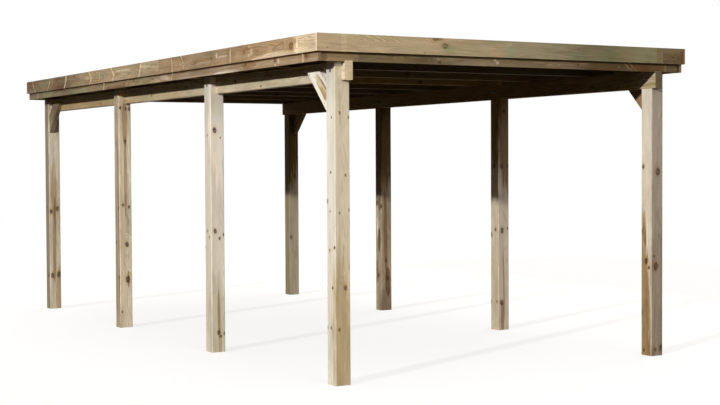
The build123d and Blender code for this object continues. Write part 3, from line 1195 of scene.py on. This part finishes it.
class CARPORT_OT_brace_screws(bpy.types.Operator):
    """Make the screws in the braces"""

    bl_idname = "carport.brace_screws"
    bl_label = "Brace screws"

    def execute(self, context):
        fixings = context.scene.carport_fixings
        parts = []
        for node in BRACES:
            low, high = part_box(node)
            outward = OUTWARD[node.split("_")[1]]
            near_post, away = (low.y, 1) if node.endswith("front") else (high.y, -1)
            for along, up in BRACE_SCREWS:
                start = Vector((outward * OUTSIDE, near_post + away * along, low.z + up))
                point, normal = face_hit(node, start, Vector((-outward, 0, 0)))
                parts.append(stand(screw_head(fixings.screw_width), point, normal))
        new_fixing("brace_screws", parts, zinc_material("zinc_brace_screws", fixings.screw))
        return {"FINISHED"}


class CARPORT_OT_board_screws(bpy.types.Operator):
    """Make the screws in the lower edge boards"""

    bl_idname = "carport.board_screws"
    bl_label = "Board screws"

    def execute(self, context):
        fixings = context.scene.carport_fixings
        parts = []
        for node in [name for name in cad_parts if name.startswith("lower_board")]:
            low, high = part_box(node)
            face = node.split("_")[2]
            axis = Vector((OUTWARD.get(face, 0), FORWARD.get(face, 0), 0))
            for place in board_screw_places(face, low, high, fixings.end_screw_step):
                start = on_face(node, face, place, fixings.screw_edge) + axis
                point, normal = face_hit(node, start, -axis)
                parts.append(stand(screw_head(fixings.screw_width), point, normal))
        new_fixing("board_screws", parts, zinc_material("zinc_board_screws", fixings.screw))
        return {"FINISHED"}


END_MARGIN = 0.04  # from the ends of a board to its outer screws


def board_screw_places(face, low, high, spacing):
    """Places of screws along a lower board: at the rafters, or evenly spaced across the ends."""
    if face in OUTWARD:
        places = [middle(rafter).y for rafter in RAFTERS]
        return [place for place in places if low.y < place < high.y]
    span = high.x - low.x - 2 * END_MARGIN
    screws = max(2, round(span / spacing) + 1)
    return [low.x + END_MARGIN + screw * span / (screws - 1) for screw in range(screws)]


class CARPORT_OT_roof_screws(bpy.types.Operator):
    """Make the screws that hold the roof sheets on the rafters"""

    bl_idname = "carport.roof_screws"
    bl_label = "Roof screws"

    def execute(self, context):
        fixings = context.scene.carport_fixings
        left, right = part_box(SHEETS[0])[0].x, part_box(SHEETS[-1])[1].x
        ribs = fixings.ribs_per_sheet * len(SHEETS)
        rib_step = (right - left - fixings.rib_width) / ribs
        parts = []
        for rib in range(0, ribs + 1, fixings.sheet_screw_step):
            x = left + fixings.rib_width / 2 + rib * rib_step
            sheet = SHEETS[min(rib // fixings.ribs_per_sheet, len(SHEETS) - 1)]
            for rafter in RAFTERS:
                start = Vector((x, middle(rafter).y, CAD_BOUNDS[1].z + 1))
                point, normal = face_hit(sheet, start, Vector((0, 0, -1)))
                parts += [stand(part, point, normal) for part in sheet_screw(fixings.sheet_screw_width)]
        new_fixing("roof_screws", parts, zinc_material("zinc_roof_screws", fixings.zinc))
        return {"FINISHED"}


def sheet_screw(width):
    """Washer and hexagonal head of a sheet screw."""
    washer, head, head_width = 0.002, 0.005, 0.45 * width
    disc = prism(SMALL_WASHER_SIDES, width, washer, SMALL_EDGE)
    return [disc, prism(HEXAGON, head_width, head, SMALL_EDGE, washer)]


# Degrees above the floor, and softness in degrees, of the two weaker lights.
FILL_HEIGHT, FILL_WIDTH = 30, 40
FRONT_HEIGHT, FRONT_WIDTH = 14, 26


class CARPORT_OT_stage(bpy.types.Operator):
    """Lay the floor, and place the lights and the camera"""

    bl_idname = "carport.stage"
    bl_label = "Stage"

    def execute(self, context):
        stage = context.scene.carport_stage
        lay_floor(stage)
        sun("sun", stage.sun_heading, stage.sun_height, stage.sun_width, stage.sun_power)
        sun("fill", stage.sun_heading + 180, FILL_HEIGHT, FILL_WIDTH, stage.fill_power)
        sun("front", 0, FRONT_HEIGHT, FRONT_WIDTH, stage.front_power)
        light_sky(stage)
        place_camera(stage)
        context.scene.view_settings.view_transform = "Standard"
        return {"FINISHED"}


def seen(web):
    """1 where a ray comes straight from the camera, a mirror or glass."""
    path = web.add("ShaderNodeLightPath")
    mirrored = web.math("MAXIMUM", path["Is Glossy Ray"], path["Is Transmission Ray"])
    return web.math("MAXIMUM", path["Is Camera Ray"], mirrored)


FADE_START = 0.4  # of the distance at which the floor is as pale as the sky


def lay_floor(stage):
    """Pale floor that keeps the shadows and throws little light back up."""
    bm = bmesh.new()
    bmesh.ops.create_grid(bm, x_segments=1, y_segments=1, size=stage.floor_size / 2)
    material, web = new_material("floor")
    new_object("floor", bm, material)
    direct = seen(web)
    away = web.vector("LENGTH", web.coordinates())

    def fading(start, end):
        return web.step(away, stage.floor_fade * FADE_START, stage.floor_fade, start, end)

    lit = web.scaled(stage.floor[:3], fading(stage.floor_matt, 0.0))
    matt = web.add("ShaderNodeBsdfDiffuse", {"Color": web.mix(direct, stage.floor_bounce, lit)})
    pale = web.mix(fading(0.0, 1.0), stage.floor, WHITE)
    own = web.add("ShaderNodeEmission", {"Color": pale, "Strength": direct * fading(stage.floor_glow, 1.0)})
    both = web.add("ShaderNodeAddShader", {0: matt, 1: own})
    web.add("ShaderNodeOutputMaterial", {"Surface": both})


def sun(name, heading, height, width, power):
    """A sun that shines towards a heading, from a height; its angles are in degrees."""
    lamp = bpy.data.lights.new(name, "SUN")
    lamp.energy = power
    lamp.angle = math.radians(width)
    linked(name, lamp).rotation_euler = (math.radians(90 - height), 0, math.radians(-heading))


def light_sky(stage):
    """Soft sky, brighter overhead, that is seen as plain white."""
    world = bpy.data.worlds.new("sky")
    world.use_nodes = True
    world.node_tree.nodes.clear()
    web = Web(world.node_tree)
    height = web.math("MAXIMUM", web.parts(web.coordinates("Generated"))[2], 0.0)
    glow = web.math("POWER", height, stage.sky_fall_off) * stage.sky
    direct = seen(web)
    white = web.math("MAXIMUM", direct, web.step(height, 0.1, 0.6))
    sockets = {"Color": web.mix(white, stage.low_sky, WHITE), "Strength": glow * (1.0 - direct) + direct}
    web.add("ShaderNodeOutputWorld", {"Surface": web.add("ShaderNodeBackground", sockets)})
    bpy.context.scene.world = world


def place_camera(stage):
    """Camera at the eye, from its heading, dip and roll."""
    heading, dip, roll = (math.radians(angle) for angle in (stage.heading, stage.dip, stage.roll))
    look = Euler((math.pi / 2 - dip, 0, -heading)).to_matrix() @ Matrix.Rotation(roll, 3, "Z")
    data = bpy.data.cameras.new("camera")
    data.lens = stage.lens
    data.clip_end = stage.floor_size
    camera = linked("camera", data)
    camera.matrix_world = Matrix.Translation(stage.eye) @ look.to_4x4()
    bpy.context.scene.camera = camera


STEPS = (
    CARPORT_OT_posts,
    CARPORT_OT_beams,
    CARPORT_OT_braces,
    CARPORT_OT_rafters,
    CARPORT_OT_boards,
    CARPORT_OT_sheets,
    CARPORT_OT_bolts,
    CARPORT_OT_brace_screws,
    CARPORT_OT_board_screws,
    CARPORT_OT_roof_screws,
    CARPORT_OT_stage,
)
SETTINGS = {
    "carport_timber": TimberSettings,
    "carport_fixings": FixingSettings,
    "carport_sheets": SheetSettings,
    "carport_stage": StageSettings,
}


class CARPORT_PT_panel(bpy.types.Panel):
    """Lists the steps, in order"""

    bl_label = "Carport"
    bl_space_type = "VIEW_3D"
    bl_region_type = "UI"
    bl_category = "Carport"

    def draw(self, context):
        for step in STEPS:
            self.layout.operator(step.bl_idname)


def register():
    for cls in (*SETTINGS.values(), *STEPS, CARPORT_PT_panel):
        bpy.utils.register_class(cls)
    for name, cls in SETTINGS.items():
        setattr(bpy.types.Scene, name, PointerProperty(type=cls))


def unregister():
    for name in SETTINGS:
        delattr(bpy.types.Scene, name)
    for cls in (CARPORT_PT_panel, *STEPS, *SETTINGS.values()):
        bpy.utils.unregister_class(cls)


def main():
    register()
    for step in STEPS:
        name = step.bl_idname.removeprefix("carport.")
        getattr(bpy.ops.carport, name)()


if __name__ == "__main__":
    main()
